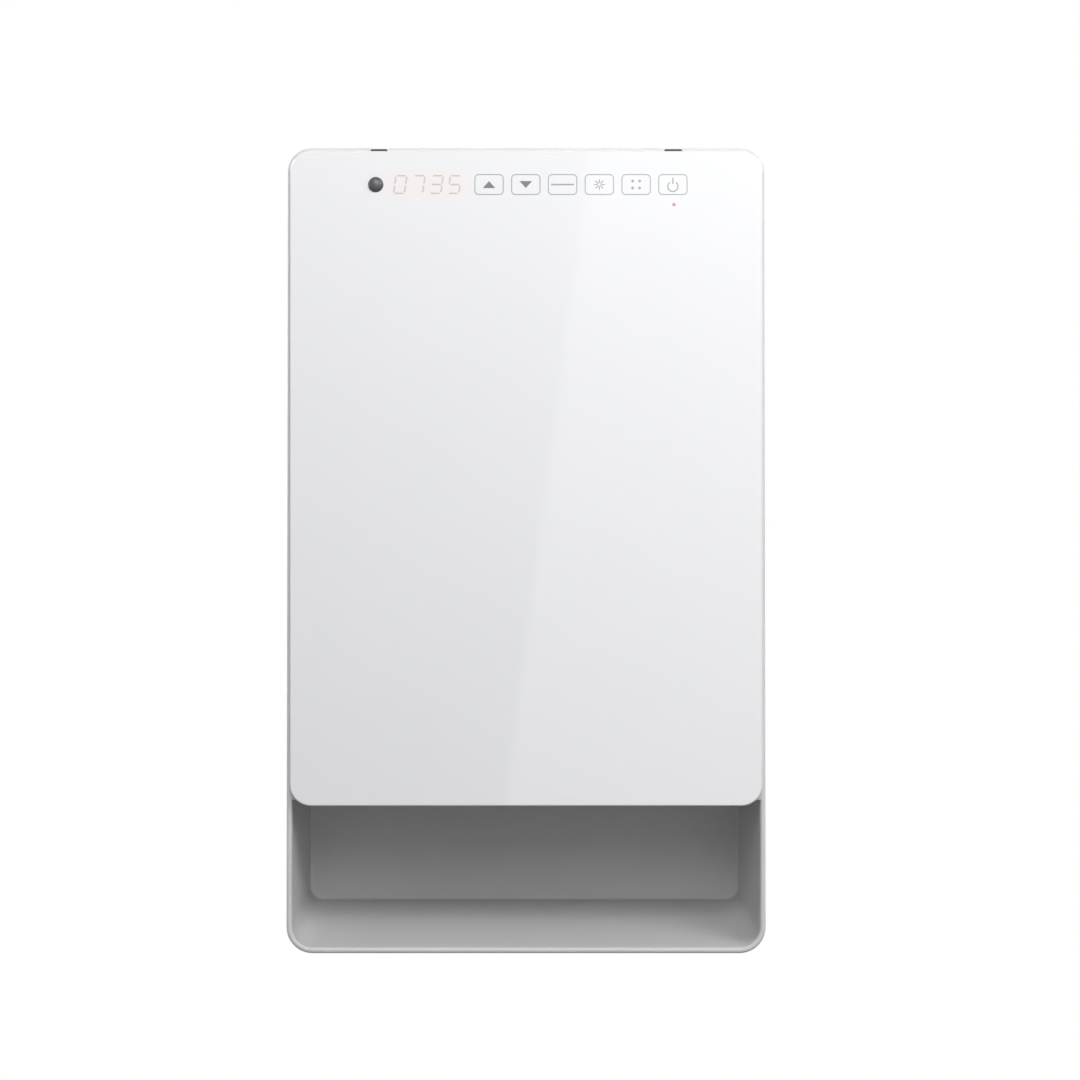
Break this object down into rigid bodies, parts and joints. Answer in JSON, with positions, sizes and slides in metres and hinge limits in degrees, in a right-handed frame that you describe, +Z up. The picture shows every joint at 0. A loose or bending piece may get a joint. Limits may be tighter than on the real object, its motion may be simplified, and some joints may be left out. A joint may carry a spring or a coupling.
{
  "type": "wall-hung bathroom fan heater",
  "caption": "Wall-hung electric bathroom heater with a white glass touch front over a grey casing that opens below in a scoop-shaped warm air mouth.",
  "frame": {"origin": "centre of the wall bracket's four screw holes, on the bracket's back, in the plane of the wall", "axes": "+Z up, +Y into the wall, the glass front faces -Y, +X to the right seen from the front"},
  "size_m": [0.2746, 0.123, 0.4623],
  "materials": {
    "casing_grey": "fine satin moulded ABS, silver grey",
    "glass_white": "toughened glass, enamelled white behind",
    "zinc_steel": "zinc-plated pressed sheet",
    "screw_steel": "zinc-plated screws",
    "shaft_steel": "ground steel",
    "core_steel": "stacked varnished laminations",
    "aluminium": "mill finish",
    "cast_zinc": "die cast, as cast",
    "copper": "enamelled copper winding",
    "bronze": "sintered bronze",
    "tin": "tinned brass tabs",
    "dark_plastic": "moulded, charcoal",
    "net_black": "woven nylon net",
    "heatproof_plastic": "glass-filled, dark grey",
    "rubber_black": "moulded rubber",
    "foam_grey": "closed-cell foam",
    "bonding_pad": "double-sided foam tape",
    "board_green": "solder-masked glass-fibre board",
    "relay_black": "moulded cases",
    "film_yellow": "potted case",
    "can_black": "sleeved cans",
    "ferrite": "ferrite core, taped winding",
    "fuse_glass": "ceramic tube in its holder",
    "nylon_white": "nylon, natural",
    "display_dark": "red filter over the digits",
    "eye_dark": "infrared filter",
    "light_red": "red light",
    "lead_silicone": "silicone insulation",
    "ribbon_grey": "flat ribbon"
  },
  "bodies": {
    "bracket": {"wall_bracket": "zinc_steel"},
    "heater": {"rear_casing": "casing_grey", "front_casing": "casing_grey", "glass_panel": "glass_white", "glass_pads": "bonding_pad", "wall_spacers": "rubber_black", "intake_grille": "casing_grey", "outlet_grille": "dark_plastic", "heater_duct": "heatproof_plastic", "duct_seal": "foam_grey", "heater_end_frames": "heatproof_plastic", "heater_bars": "aluminium", "heater_fins": "aluminium", "heater_terminals": "tin", "thermal_cutout": "heatproof_plastic", "thermal_fuse": "nylon_white", "fan_scroll": "zinc_steel", "vortex_tongue": "zinc_steel", "side_plate_left": "zinc_steel", "side_plate_right": "zinc_steel", "plate_screws": "screw_steel", "bearing_bush": "bronze", "bearing_rubber": "rubber_black", "motor_stator": "core_steel", "coil_bobbin": "nylon_white", "motor_coil": "copper", "motor_brackets": "cast_zinc", "motor_bushes": "bronze", "motor_screws": "screw_steel", "power_board": "board_green", "board_screws": "screw_steel", "relays": "relay_black", "film_capacitor": "film_yellow", "transformer": "ferrite", "electrolytic_capacitors": "can_black", "heat_sink": "aluminium", "triac": "relay_black", "board_fuse": "fuse_glass", "board_plugs": "nylon_white", "cable_grommet": "rubber_black", "cable_clamp": "dark_plastic", "clamp_screws": "screw_steel", "terminal_block": "nylon_white", "room_sensor": "can_black", "touch_board": "board_green", "touch_board_screws": "screw_steel", "touch_pads": "foam_grey", "display_module": "display_dark", "infrared_receiver": "eye_dark", "status_light": "light_red", "casing_screws": "screw_steel", "power_leads": "lead_silicone", "motor_leads": "lead_silicone", "display_ribbon": "ribbon_grey"},
    "fan": {"fan_rotor": "aluminium", "rotor_end_pin": "shaft_steel", "motor_shaft": "shaft_steel", "motor_armature": "core_steel"},
    "filter": {"filter_frame": "dark_plastic", "filter_net": "net_black"}
  },
  "joints": [
    {"name": "lift_off", "type": "slide", "parent": "bracket", "child": "heater", "axis": [0, 0, 1], "range_m": [0, 0.01]},
    {"name": "fan_spin", "type": "hinge", "parent": "heater", "child": "fan", "pos_m": [0, -0.062, -0.18], "axis": [1, 0, 0], "continuous": true},
    {"name": "filter_lift", "type": "slide", "parent": "heater", "child": "filter", "axis": [0, 0, 1], "range_m": [0, 0.014]}
  ]
}
